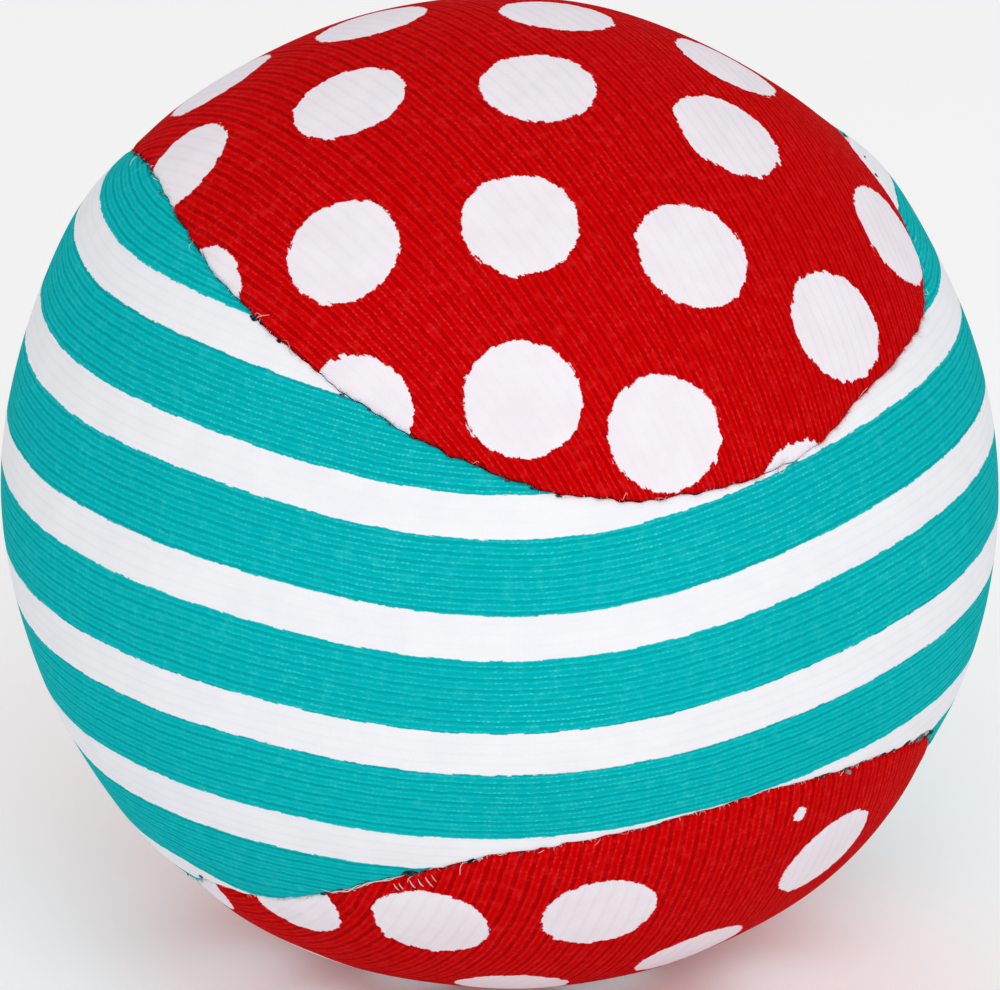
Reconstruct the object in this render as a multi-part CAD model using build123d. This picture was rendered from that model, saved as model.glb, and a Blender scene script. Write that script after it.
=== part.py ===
from build123d import *

import os
from math import cos, degrees, pi, radians, sin, sqrt

# Juggling ball, millimetres. The origin is the ball's centre. +Z points to the
# middle of the upper dotted lobe, -Y to the striped waist and +Y to the dotted
# waist. The ball rests on a small flattened face at its lowest point.

# ---- driving dimensions -------------------------------------------------------
ball_diameter = 63.0
rest_flat_depth = 1.03  # how far the resting face is pressed in

# laminate of each cover panel, from the outside inwards
knit_thickness = 0.5  # printed ribbed knit face
foam_thickness = 1.5  # dark foam sheet behind the knit
ply_clearance = 0.05  # glue film between two plies, left empty

# seam: a tennis-ball curve cut parallel to itself on both panels
seam_bend = 0.346  # share of the third harmonic, sets how narrow the waists are
seam_fullness = -0.019  # share of the fifth harmonic, fills out the lobes
seam_gap = 0.6  # between the two cut edges
seam_points = 96
seam_step = 1e-4  # of one turn, for finding which way the seam runs
saw_cut_overrun = 6.0  # the seam's cut reaches this far past the cover, both ways
bead_side_clearance = 0.03

# thread on the inside of the seam
stitch_length = 3.4
stitch_thread_diameter = 0.36
stitch_tilt = 24.0  # degrees either side of square to the seam
stitch_count = 128
closing_start = 0.50  # part of the way round the seam
closing_end = 0.575
closing_count = 10
closing_length = 3.6
closing_thread_diameter = 0.5

# inner pouch: two cups joined by a fin seam on the inside
pouch_clearance = 0.2  # from the inner pouch to the seam thread
pouch_thickness = 0.35
fin_width = 3.0
fin_play = 0.08  # between the two fins
needle_hole_diameter = 0.56
pouch_thread_diameter = 0.4
pouch_thread_bend = 0.28  # radius of the thread's middle where it turns into a hole
pouch_stitch_count = 36

# filling: short cylinder pellets on a loose close-packed lattice
pellet_diameter = 4.2
pellet_length = 3.6
pellet_play = 0.08
pellet_turns = (1.0, 1.7, 0.3)  # how fast each axis turns from one pellet to the next

ball_radius = ball_diameter / 2
foam_outer_radius = ball_radius - knit_thickness - ply_clearance
foam_inner_radius = foam_outer_radius - foam_thickness


def flattened_ball(radius):
    """A ball whose lowest point is pressed flat by the resting face."""
    block = Pos(0, 0, -2 * radius + rest_flat_depth) * Box(4 * radius, 4 * radius, 2 * radius)
    return Sphere(radius) - block


def layer(outer_radius, thickness):
    """A closed layer of even thickness, flattened with the ball."""
    return flattened_ball(outer_radius) - flattened_ball(outer_radius - thickness)


def seam_direction(turn):
    """Unit vector to the seam; turn runs from 0 to 1 once round the curve."""
    angle = 2 * pi * turn
    base = 1 - seam_bend
    u = base * cos(angle) + seam_bend * cos(3 * angle) + seam_fullness * cos(5 * angle)
    v = base * sin(angle) - seam_bend * sin(3 * angle) + seam_fullness * sin(5 * angle)
    w = 2 * sqrt(base * seam_bend) * sin(2 * angle)
    diagonal = sqrt(0.5)
    return Vector((v - u) * diagonal, -w, (u + v) * diagonal).normalized()


def seam_frame(turn):
    """Outward, along-seam and across-seam unit vectors at one point of the seam."""
    outward = seam_direction(turn)
    along = (seam_direction(turn + seam_step) - seam_direction(turn - seam_step)).normalized()
    return outward, along, outward.cross(along).normalized()


def seam_curve(offset, radius):
    """The seam moved sideways over the ball by offset, drawn at a given radius."""
    points = []
    for index in range(seam_points):
        outward, _, across = seam_frame(index / seam_points)
        swing = offset / ball_radius
        points.append((outward * cos(swing) + across * sin(swing)) * radius)
    return Edge.make_spline(points, periodic=True)


def seam_wall(width, inner_radius, outer_radius):
    """A ring that follows the seam, with radial sides."""
    corners = [
        seam_curve(-width / 2, inner_radius),
        seam_curve(-width / 2, outer_radius),
        seam_curve(width / 2, outer_radius),
        seam_curve(width / 2, inner_radius),
    ]
    sides = [
        Face.make_surface_from_curves(corners[index], corners[(index + 1) % 4])
        for index in range(4)
    ]
    return Solid(Shell(sides))


def split_along_seam(closed_layer):
    """Cut a layer at the seam: returns the striped panel, then the dotted panel."""
    saw_cut = seam_wall(
        seam_gap, foam_inner_radius - saw_cut_overrun, ball_radius + saw_cut_overrun
    )
    panels = (closed_layer - saw_cut).solids()
    if len(panels) != 2:
        raise ValueError(f"the seam should part a layer in two, not {len(panels)}")
    front = Vector(0, -ball_radius, 0)
    panels.sort(key=lambda panel: panel.distance_to(Vertex(front)))
    return panels[0], panels[1]


def thread_bar(centre, direction, length, diameter):
    """A straight run of thread."""
    return Plane(origin=centre, z_dir=direction) * Cylinder(diameter / 2, length)


def is_closing(turn):
    return closing_start <= turn % 1.0 <= closing_end


def seam_stitches():
    """Machine stitches that zigzag over the joint on the inside of the cover."""
    sagitta = (stitch_length / 2) ** 2 / (2 * foam_inner_radius)
    radius = foam_inner_radius - ply_clearance - stitch_thread_diameter / 2 - sagitta
    stitches = []
    for index in range(stitch_count):
        turn = index / stitch_count
        if is_closing(turn):
            continue
        outward, along, across = seam_frame(turn)
        tilt = radians(stitch_tilt) * (1 if index % 2 else -1)
        lie = across * cos(tilt) + along * sin(tilt)
        stitches.append(thread_bar(outward * radius, lie, stitch_length, stitch_thread_diameter))
    return stitches


def closing_stitches():
    """Hand stitches, square to the seam, where the ball was filled."""
    sagitta = (closing_length / 2) ** 2 / (2 * foam_inner_radius)
    radius = foam_inner_radius - ply_clearance - closing_thread_diameter / 2 - sagitta
    stitches = []
    for index in range(closing_count):
        share = (index + 0.5) / closing_count
        outward, _, across = seam_frame(closing_start + share * (closing_end - closing_start))
        stitches.append(thread_bar(outward * radius, across, closing_length, closing_thread_diameter))
    return stitches


thread_depth = (
    ply_clearance + closing_thread_diameter + (closing_length / 2) ** 2 / (2 * foam_inner_radius)
)
pouch_radius = foam_inner_radius - thread_depth - pouch_clearance
pouch_inner_radius = pouch_radius - pouch_thickness


def stitch_places(count, radius):
    """Points spaced evenly round the fin seam."""
    return [
        (degrees(2 * pi * index / count), radius)
        for index in range(count)
    ]


fin_hole_radius = pouch_inner_radius - fin_width / 2
hole_count = 2 * pouch_stitch_count


def needle_holes():
    """Every hole the needle left through the two fins."""
    tall = 4 * (pouch_thickness + fin_play)
    hole = Cylinder(needle_hole_diameter / 2, tall)
    return [
        Rot(0, 0, angle) * Pos(radius, 0, 0) * hole
        for angle, radius in stitch_places(hole_count, fin_hole_radius)
    ]


def pouch_half(upper):
    """One cup of the pouch with its fin turned inwards at the equator."""
    shell = layer(pouch_radius, pouch_thickness)
    low = fin_play / 2
    keep = Pos(0, 0, low + pouch_radius) * Box(
        4 * pouch_radius, 4 * pouch_radius, 2 * pouch_radius
    )
    ring_outer = pouch_radius - pouch_thickness / 2
    fin = Pos(0, 0, low + pouch_thickness / 2) * (
        Cylinder(ring_outer, pouch_thickness)
        - Cylinder(pouch_inner_radius - fin_width, pouch_thickness)
    )
    if not upper:
        keep = Rot(180, 0, 0) * keep
        fin = Rot(180, 0, 0) * fin
    return (shell & keep) + fin - needle_holes()


def pouch_stitches():
    """Running stitches: each one is a staple through two neighbouring holes."""
    fin_top = fin_play / 2 + pouch_thickness
    reach = fin_top + ply_clearance + pouch_thread_diameter / 2
    hole_angle = 360 / hole_count
    staples = []
    for index in range(pouch_stitch_count):
        side = 1 if index % 2 else -1
        first = 2 * index * hole_angle
        corners = []
        for angle in (first, first + hole_angle):
            x = fin_hole_radius * cos(radians(angle))
            y = fin_hole_radius * sin(radians(angle))
            corners.append((x, y))
        path = FilletPolyline(
            (*corners[0], -side * reach),
            (*corners[0], side * reach),
            (*corners[1], side * reach),
            (*corners[1], -side * reach),
            radius=pouch_thread_bend,
        )
        start = Plane(origin=(*corners[0], -side * reach), z_dir=(0, 0, side))
        staples.append(sweep(start * Circle(pouch_thread_diameter / 2), path=path))
    return staples


def pellets():
    """Short cylinders on a face-centred lattice, each turned its own way."""
    reach = sqrt((pellet_diameter / 2) ** 2 + (pellet_length / 2) ** 2)
    pitch = 2 * reach + pellet_play
    cell = pitch * sqrt(2)
    rows = int(pouch_inner_radius / cell * 2) + 1
    golden_turn = 360 * (sqrt(5) - 1) / 2
    room = pouch_inner_radius - reach - ply_clearance
    floor = -(pouch_inner_radius - rest_flat_depth) + reach + ply_clearance
    fin_edge = pouch_inner_radius - fin_width - reach
    fin_side = fin_play / 2 + pouch_thickness + pouch_thread_diameter + 2 * ply_clearance + reach
    pellet = Cylinder(pellet_diameter / 2, pellet_length)
    placed = []
    for i in range(-rows, rows + 1):
        for j in range(-rows, rows + 1):
            for k in range(-rows, rows + 1):
                if (i + j + k) % 2:
                    continue
                spot = Vector(i, j, k) * (cell / 2)
                by_fin = abs(spot.Z) < fin_side and sqrt(spot.X**2 + spot.Y**2) > fin_edge
                if spot.length > room or spot.Z < floor or by_fin:
                    continue
                turn = golden_turn * len(placed)
                lie = Rot(*(turn * rate for rate in pellet_turns))
                placed.append(Pos(spot) * lie * pellet)
    return placed


def write(node, solids):
    """One STEP file per node, as a group when the node has several solids."""
    solids = solids if isinstance(solids, list) else [solids]
    shape = solids[0] if len(solids) == 1 else Compound(children=solids)
    export_step(shape, f"parts/{node}.step")


os.makedirs("parts", exist_ok=True)

striped_knit, dotted_knit = split_along_seam(layer(ball_radius, knit_thickness))
write("striped_knit_panel", striped_knit)
write("dotted_knit_panel", dotted_knit)

striped_foam, dotted_foam = split_along_seam(layer(foam_outer_radius, foam_thickness))
write("striped_foam_backing", striped_foam)
write("dotted_foam_backing", dotted_foam)

bead_width = seam_gap - 2 * bead_side_clearance
write("seam_glue_bead", seam_wall(bead_width, foam_inner_radius, foam_outer_radius))

write("seam_stitches", seam_stitches())
write("closing_stitches", closing_stitches())

write("pouch_upper_half", pouch_half(upper=True))
write("pouch_lower_half", pouch_half(upper=False))
write("pouch_stitches", pouch_stitches())
write("filling_pellets", pellets())
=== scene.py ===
import math

import bmesh
import bpy
import numpy as np
from mathutils import Matrix, Vector, kdtree, noise


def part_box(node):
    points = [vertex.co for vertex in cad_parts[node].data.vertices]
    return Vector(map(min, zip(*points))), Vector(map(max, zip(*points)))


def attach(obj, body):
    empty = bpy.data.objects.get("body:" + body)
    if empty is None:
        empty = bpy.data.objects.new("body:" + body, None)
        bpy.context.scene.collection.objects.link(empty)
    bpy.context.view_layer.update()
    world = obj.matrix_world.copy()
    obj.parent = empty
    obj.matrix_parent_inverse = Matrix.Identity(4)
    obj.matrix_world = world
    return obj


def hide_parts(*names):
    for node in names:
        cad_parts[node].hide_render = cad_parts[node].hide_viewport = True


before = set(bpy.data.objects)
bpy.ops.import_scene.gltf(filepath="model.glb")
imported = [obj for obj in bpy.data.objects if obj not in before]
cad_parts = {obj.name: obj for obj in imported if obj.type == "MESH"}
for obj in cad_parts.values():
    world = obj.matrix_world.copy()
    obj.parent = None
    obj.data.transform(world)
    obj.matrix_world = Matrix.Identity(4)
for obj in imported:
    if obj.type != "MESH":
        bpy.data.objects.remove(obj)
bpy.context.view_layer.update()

# Looks of the juggling ball. Lengths are in metres, angles in degrees unless a
# name says otherwise. The ball's frame is the CAD frame: +Z is the middle of the
# upper dotted lobe, -Y the striped waist, +Y the dotted waist.

MM = 0.001
SEED = 20

# ---- sizes read from the frame ----
knit_low, knit_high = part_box("striped_knit_panel")
foam_low, foam_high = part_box("striped_foam_backing")
pouch_low, pouch_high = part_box("pouch_upper_half")
BALL_R = (knit_high.x - knit_low.x) / 2
FOAM_R = (foam_high.x - foam_low.x) / 2
POUCH_R = (pouch_high.x - pouch_low.x) / 2
FLOOR_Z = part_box("dotted_knit_panel")[0].z
FLAT_DEPTH = BALL_R + FLOOR_Z
KNIT_THICK = 0.5 * MM
FOAM_THICK = 1.5 * MM
FOAM_INNER_R = FOAM_R - FOAM_THICK
PLY_CLEARANCE = 0.05 * MM

# ---- seam curve, the same formula as the CAD ----
SEAM_BEND = 0.346
SEAM_FULLNESS = -0.019
SEAM_SAMPLES = 3000
KNIT_EDGE_GAP = 0.022 * MM  # from the seam line to each knit edge
FOAM_EDGE_GAP = 0.30 * MM

# Where the hand-made seam strays from its drawn line: how far round it, sideways
# shift, and the length of seam the shift is spread over.
SEAM_STRAYS = (
    (0.040, 0.30 * MM, 9 * MM),
    (0.100, -0.50 * MM, 7 * MM),
    (0.163, 1.30 * MM, 7 * MM),
    (0.197, -0.80 * MM, 6 * MM),
    (0.229, 1.80 * MM, 4.5 * MM),
    (0.570, -1.40 * MM, 7 * MM),
    (0.645, 0.85 * MM, 8 * MM),
    (0.738, -1.70 * MM, 4 * MM),
    (0.985, 0.35 * MM, 8 * MM),
)
SEAM_WANDER = 0.13 * MM  # restless wander of the cut, shared by both panels
TURN_STEP = 1e-4  # half the step used to find which way the seam runs

# ---- print and knit, in degrees over the ball or millimetres ----
DEG_MM = math.radians(1) * BALL_R / MM  # length of one degree over the ball, in mm
STRIPE_PERIOD_DEG = 14.43
STRIPE_PERIOD_MM = STRIPE_PERIOD_DEG * DEG_MM
STRIPE_WHITE_SHARE = 0.365
DOT_RADIUS = 3.57 * MM


def unit(vectors):
    return vectors / np.linalg.norm(vectors, axis=-1, keepdims=True)


def seam_directions(turns):
    """Unit vectors to the seam; turns run from 0 to 1 once round the curve."""
    angle = 2 * np.pi * turns
    base = 1 - SEAM_BEND
    u = base * np.cos(angle) + SEAM_BEND * np.cos(3 * angle) + SEAM_FULLNESS * np.cos(5 * angle)
    v = base * np.sin(angle) - SEAM_BEND * np.sin(3 * angle) + SEAM_FULLNESS * np.sin(5 * angle)
    w = 2 * math.sqrt(base * SEAM_BEND) * np.sin(2 * angle)
    diagonal = math.sqrt(0.5)
    return unit(np.stack([(v - u) * diagonal, -w, (u + v) * diagonal], axis=1))


seam_turns = np.arange(SEAM_SAMPLES) / SEAM_SAMPLES
seam_out = seam_directions(seam_turns)
seam_along = unit(seam_directions(seam_turns + TURN_STEP) - seam_directions(seam_turns - TURN_STEP))
seam_across = unit(np.cross(seam_out, seam_along))
seam_steps = np.linalg.norm(np.roll(seam_out, -1, axis=0) - seam_out, axis=1)
seam_run = np.concatenate([[0.0], np.cumsum(seam_steps)[:-1]]) * BALL_R
SEAM_LENGTH = float(seam_steps.sum() * BALL_R)

seam_tree = kdtree.KDTree(SEAM_SAMPLES)
for seam_index, seam_point in enumerate(seam_out):
    seam_tree.insert(seam_point, seam_index)
seam_tree.balance()


# ---- small numeric helpers ----
def smooth_noise(points, size, offset=0.0):
    """Gentle noise between about -1 and 1 at each point, with lumps of the given size."""
    shift = Vector((offset, offset * 0.7, -offset))
    return np.array([noise.noise(Vector(point) / size + shift) for point in points])


def loop_noise(run, size, offset=0.0):
    """Noise along the seam that closes on itself; size is a lump's length."""
    radius = SEAM_LENGTH / size / (2 * math.pi)
    angle = 2 * math.pi * run / SEAM_LENGTH
    return np.array([
        noise.noise(Vector((radius * math.cos(a), radius * math.sin(a), offset))) for a in angle
    ])


def gauss(distance, width):
    return np.exp(-((distance / width) ** 2))


def seam_strays():
    """Sideways shift of the sewn seam from its drawn line, at each seam sample."""
    shift = loop_noise(seam_run, 2.6 * MM, 1.7) + 1.5 * loop_noise(seam_run, 0.85 * MM, 6.1)
    shift *= SEAM_WANDER
    for turn, aside, spread in SEAM_STRAYS:
        away = np.abs((seam_turns - turn + 0.5) % 1.0 - 0.5) * SEAM_LENGTH
        shift += aside * gauss(away, spread)
    return shift


seam_stray = seam_strays()


def nearest_seam(directions):
    """Nearest seam sample and signed distance from the sewn seam, for each direction."""
    index = np.array([seam_tree.find(direction)[1] for direction in directions])
    side = np.einsum("ij,ij->i", directions, seam_across[index])
    reach = np.linalg.norm(directions - seam_out[index], axis=1)
    chord = np.minimum(np.maximum(np.abs(side), reach) / 2, 1.0)
    return index, np.sign(side) * 2 * np.arcsin(chord) * BALL_R - seam_stray[index]


STRIPED_SIDE = float(np.sign(nearest_seam(np.array([[0.0, -1.0, 0.0]]))[1][0]))


# ---- camera, which also names the directions the ball bulges in ----
VIEW_AZIMUTH = -28.6
VIEW_ELEVATION = 20.6
VIEW_ROLL = -1.2
CAMERA_RADII = 16.0
SENSOR_WIDTH_MM = 36.0
BALL_SHARE_OF_WIDTH = 0.998  # the ball's outline nearly fills the picture's width


def camera_axes():
    """Right, up and back unit vectors of the camera."""
    azimuth, elevation = math.radians(VIEW_AZIMUTH), math.radians(VIEW_ELEVATION)
    roll = math.radians(VIEW_ROLL)
    back = Vector((
        math.sin(azimuth) * math.cos(elevation),
        -math.cos(azimuth) * math.cos(elevation),
        math.sin(elevation),
    ))
    level = Vector((0, 0, 1)).cross(back).normalized()
    upright = back.cross(level)
    right = level * math.cos(roll) + upright * math.sin(roll)
    up = upright * math.cos(roll) - level * math.sin(roll)
    return right, up, back


CAMERA_RIGHT, CAMERA_UP, CAMERA_BACK = camera_axes()

# Broad bulges and hollows of the hand-made ball: direction round the outline as
# seen by the camera, height and angular width. The first is the corner of a
# striped lobe, where the seam crosses the outline.
OUTLINE_SWELLS = (
    (141.0, 0.80 * MM, 15.0),
    (312.0, 0.45 * MM, 14.0),
    (60.0, -0.35 * MM, 13.0),
    (42.0, 0.45 * MM, 8.0),
    (210.0, -0.40 * MM, 22.0),
    (262.0, -0.35 * MM, 22.0),
)
SURFACE_LUMPS = ((0.16 * MM, 0.55, 3.0), (0.07 * MM, 0.20, 9.0))  # height, size, noise offset
FLAT_BLEND = 0.12 * MM  # how softly the round surface turns into the flat underside


def swell(directions):
    """Height of the ball's surface over its true radius, before any seam detail."""
    height = np.zeros(len(directions))
    for clock, rise, width in OUTLINE_SWELLS:
        angle = math.radians(clock)
        centre = np.array(CAMERA_RIGHT * math.cos(angle) + CAMERA_UP * math.sin(angle))
        away = np.degrees(np.arccos(np.clip(directions @ centre, -1, 1)))
        height += rise * gauss(away, width)
    for rise, size, offset in SURFACE_LUMPS:
        height += rise * smooth_noise(directions, size, offset)
    return height


def rest_on_flat(directions, radius, floor_depth):
    """Radius cut back so that nothing drops below the flattened underside."""
    down = np.maximum(-directions[:, 2], 1e-6)
    limit = floor_depth / down
    share = np.clip(0.5 + 0.5 * (limit - radius) / FLAT_BLEND, 0, 1)
    soft = limit * (1 - share) + radius * share - FLAT_BLEND * share * (1 - share)
    return np.minimum(soft, limit)


# ---- mesh building ----
def make_object(name, vertices, faces, attributes=None, uv=None, smooth=True):
    """A mesh object; attributes are one number per vertex, uv two numbers per vertex."""
    mesh = bpy.data.meshes.new(name)
    mesh.from_pydata([tuple(vertex) for vertex in vertices], [], faces)
    for label, values in (attributes or {}).items():
        layer = mesh.attributes.new(label, "FLOAT", "POINT")
        layer.data.foreach_set("value", np.asarray(values, dtype=np.float32))
    if uv is not None:
        layer = mesh.uv_layers.new(name="knit")
        corner = np.zeros(len(mesh.loops), dtype=np.int32)
        mesh.loops.foreach_get("vertex_index", corner)
        layer.data.foreach_set("uv", np.asarray(uv, dtype=np.float32)[corner].ravel())
    if smooth:
        mesh.shade_smooth()
    mesh.validate()
    mesh.update()
    made = bpy.data.objects.new(name, mesh)
    bpy.context.scene.collection.objects.link(made)
    return made


class PanelAxes:
    """Longitude runs along a panel's length, latitude across it."""

    def __init__(self, pole, middle):
        self.pole = np.array(pole, dtype=float)
        self.middle = np.array(middle, dtype=float)
        self.side = np.cross(self.pole, self.middle)

    def direction(self, longitude, latitude):
        lon, lat = np.radians(longitude), np.radians(latitude)
        flat = np.cos(lat)[:, None]
        return (
            flat * np.cos(lon)[:, None] * self.middle
            + flat * np.sin(lon)[:, None] * self.side
            + np.sin(lat)[:, None] * self.pole
        )

    def coordinates(self, directions):
        along = np.arctan2(directions @ self.side, directions @ self.middle)
        across = np.arcsin(np.clip(directions @ self.pole, -1, 1))
        return np.degrees(along), np.degrees(across)


STRIPED_AXES = PanelAxes(pole=(0, 0, 1), middle=(0, -1, 0))
DOTTED_AXES = PanelAxes(pole=(1, 0, 0), middle=(0, 1, 0))
LOBE_REACH = 166.0  # a little past the ends of a panel's two lobes
HALF_WIDTH = 52.0  # a little past a panel's widest half width


def grid_inside_seam(axes, step, inside_distance):
    """Cut a longitude-latitude grid to one side of the seam.

    inside_distance gives, for each direction, how far inside the cut edge it is.
    Returns directions, faces and the ordered loop of vertices on the cut edge.
    """
    step_deg = math.degrees(step / BALL_R)
    columns = int(2 * LOBE_REACH / step_deg)
    rows = int(2 * HALF_WIDTH / step_deg)
    lon, lat = np.meshgrid(
        np.linspace(-LOBE_REACH, LOBE_REACH, columns + 1),
        np.linspace(-HALF_WIDTH, HALF_WIDTH, rows + 1),
    )
    directions = axes.direction(lon.ravel(), lat.ravel())
    depth = inside_distance(directions)
    kept = {}
    points = []
    cuts = {}

    def keep(index):
        if index not in kept:
            kept[index] = len(points)
            points.append(directions[index])
        return kept[index]

    def cut(a, b):
        key = (min(a, b), max(a, b))
        if key not in cuts:
            share = depth[a] / (depth[a] - depth[b])
            cuts[key] = len(points)
            points.append(unit(directions[a] * (1 - share) + directions[b] * share))
        return cuts[key]

    inside = depth > 0
    faces = []
    rim_next = {}
    width = columns + 1
    for row in range(rows):
        for column in range(columns):
            first = row * width + column
            corners = (first, first + 1, first + 1 + width, first + width)
            count = sum(inside[corner] for corner in corners)
            if count == 0:
                continue
            if count == 4:
                faces.append([keep(corner) for corner in corners])
                continue
            polygon = []
            leaving = entering = None
            for a, b in zip(corners, corners[1:] + corners[:1]):
                if inside[a]:
                    polygon.append(keep(a))
                if inside[a] != inside[b]:
                    crossing = cut(a, b)
                    polygon.append(crossing)
                    if inside[a]:
                        leaving = crossing
                    else:
                        entering = crossing
            faces.append(polygon)
            rim_next[leaving] = entering
    start = next(iter(rim_next))
    rim = [start]
    while rim_next[rim[-1]] != start:
        rim.append(rim_next[rim[-1]])
    return np.array(points), faces, rim


EDGE_ROLL_DROP = 0.30 * MM
VALLEY_DEPTH, VALLEY_WIDTH = 0.20 * MM, 2.6 * MM
PUCKER_HEIGHT, PUCKER_WIDTH, PUCKER_LENGTH = 0.10 * MM, 1.8 * MM, 4.2 * MM
PUCKER_REACH = 5 * MM
JAG_REACH = 3 * MM


def edge_jag(index, amount):
    """How far one panel's own cut edge wanders at each seam sample, with a few nicks."""
    run = seam_run[index]
    wander = loop_noise(run, 1.3 * MM, 21.0) + 0.8 * loop_noise(run, 0.55 * MM, 26.1)
    nick = np.maximum(loop_noise(run, 1.9 * MM, 12.3) - 0.40, 0)
    return amount * (0.6 * np.abs(wander) + 2.0 * nick)


def ply_radius(directions, index, depth, radius, roll):
    """Radius of a cover ply: swells, the seam's valley, its puckers and the flat underside."""
    raised = radius + swell(directions)
    rolled = np.clip(1 - depth / roll, 0, 1)
    raised -= EDGE_ROLL_DROP * (1 - np.sqrt(1 - rolled**2 * 0.98))
    raised -= VALLEY_DEPTH * gauss(depth, VALLEY_WIDTH)
    near = depth < PUCKER_REACH
    pucker = np.zeros(len(directions))
    pucker[near] = loop_noise(seam_run[index[near]], PUCKER_LENGTH, 4.0)
    raised += PUCKER_HEIGHT * pucker * gauss(depth, PUCKER_WIDTH)
    return rest_on_flat(directions, raised, radius - FLAT_DEPTH)


def closed_ply(name, side, axes, ply, attributes_for=None):
    """One cover ply: a closed sheet cut at the seam, its outer edge rolled down."""

    def inside_distance(directions):
        index, distance = nearest_seam(directions)
        near = np.abs(distance) < JAG_REACH
        wander = np.zeros(len(directions))
        if ply["jag"] and near.any():
            wander[near] = edge_jag(index[near], ply["jag"])
        return distance * side - ply["edge_gap"] - wander

    directions, faces, rim = grid_inside_seam(axes, ply["step"], inside_distance)
    index, distance = nearest_seam(directions)
    depth = np.maximum(distance * side - ply["edge_gap"], 0)
    outer = ply_radius(directions, index, depth, ply["radius"], ply["roll"])
    if ply["even"]:
        inner = outer - ply["thickness"]
    else:
        smooth = np.full(len(directions), ply["radius"] - ply["thickness"])
        inner = rest_on_flat(directions, smooth, ply["radius"] - ply["thickness"] - FLAT_DEPTH)
    points = np.concatenate([directions * outer[:, None], directions * inner[:, None]])
    total = len(directions)
    closed = list(faces)
    closed.extend([corner + total for corner in reversed(face)] for face in faces)
    for here, there in zip(rim, rim[1:] + rim[:1]):
        closed.append([here + total, there + total, there, here])
    # Distance in from the cut edge in mm. The inner side gets minus the thickness, so the knit
    # material paints shade on the lower cut wall and darkens the inner side.
    edge = np.concatenate([depth, np.full(total, -ply["thickness"])]) / MM
    attributes, uv = {"edge_mm": edge}, None
    if attributes_for:
        more, uv = attributes_for(directions)
        attributes.update({label: np.tile(values, 2) for label, values in more.items()})
        uv = np.tile(uv, (2, 1))
    return make_object(name, points, closed, attributes, uv)


class Parts:
    """Collects small bits of mesh into one object."""

    def __init__(self):
        self.points = []
        self.faces = []
        self.values = {}
        self.total = 0

    def add(self, points, faces, **values):
        self.points.append(points)
        self.faces.extend([corner + self.total for corner in face] for face in faces)
        self.total += len(points)
        for label, value in values.items():
            self.values.setdefault(label, []).append(np.full(len(points), value))

    def build(self, name, uv=None, smooth=True):
        values = {label: np.concatenate(parts) for label, parts in self.values.items()}
        return make_object(name, np.concatenate(self.points), self.faces, values, uv, smooth)


def path_frame(path):
    """Sideways and upward unit vectors at each point of a path near the ball's surface."""
    heading = unit(np.gradient(path, axis=0))
    sideways = np.cross(heading, unit(path))
    weak = np.linalg.norm(sideways, axis=1) < 0.2
    sideways[weak] = np.cross(heading[weak], np.array([0.30, 0.52, 0.80]))
    sideways = unit(sideways)
    return sideways, np.cross(sideways, heading)


def tube(path, radius, sides):
    """A tube along a path, closed at both ends; radius is one number or one per point."""
    path = np.asarray(path)
    sideways, upward = path_frame(path)
    turn = 2 * np.pi * np.arange(sides) / sides
    radius = np.broadcast_to(radius, len(path))
    ring = (
        np.cos(turn)[None, :, None] * sideways[:, None, :]
        + np.sin(turn)[None, :, None] * upward[:, None, :]
    )
    points = (path[:, None, :] + ring * radius[:, None, None]).reshape(-1, 3)
    faces = []
    for step in range(len(path) - 1):
        low, high = step * sides, (step + 1) * sides
        for corner in range(sides):
            after = (corner + 1) % sides
            faces.append([low + corner, high + corner, high + after, low + after])
    last = (len(path) - 1) * sides
    faces.append(list(range(sides)))
    faces.append([last + corner for corner in reversed(range(sides))])
    return points, faces


def add_twisted_thread(parts, path, diameter, lay=1.1 * MM, sides=6):
    """Two plies wound round each other along a path; lay is the length of one full wind."""
    path = np.asarray(path)
    sideways, upward = path_frame(path)
    run = np.concatenate([[0.0], np.cumsum(np.linalg.norm(np.diff(path, axis=0), axis=1))])
    for start in (0.0, math.pi):
        angle = start + 2 * np.pi * run / lay
        wind = np.cos(angle)[:, None] * sideways + np.sin(angle)[:, None] * upward
        parts.add(*tube(path + wind * diameter / 4, diameter / 4, sides))


# ---- the print ----
WAIST_PULL_LONGITUDE = -24.0  # where the stripes are pulled furthest down
WAIST_PULL_WIDTH = 33.6
LOW_CORNER = (-68.0, -37.5)  # longitude and latitude where the lowest stripe is pulled down
HIGH_CORNER = (67.0, 45.0)  # where the highest white stripe is stretched up to the seam
LOW_CORNER_SIZE, HIGH_CORNER_SIZE = (11.0, 4.5), (12.0, 5.0)
LOW_CORNER_PULL, HIGH_CORNER_PULL = 0.17, -0.27  # in stripes
WAIST_PULL_DEG = 4.67
WAIST_PULL_GROWTH = 0.063  # more pull for each degree of latitude
STRIPE_LEAN_DEG = 0.98
FIRST_STRIPE_DEG = 10.17
STRIPE_GROWTH = 0.0196


def nearness(longitude, latitude, place, size):
    """1 at a place of the panel, falling off with distance."""
    return gauss(longitude - place[0], size[0]) * gauss(latitude - place[1], size[1])


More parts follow.
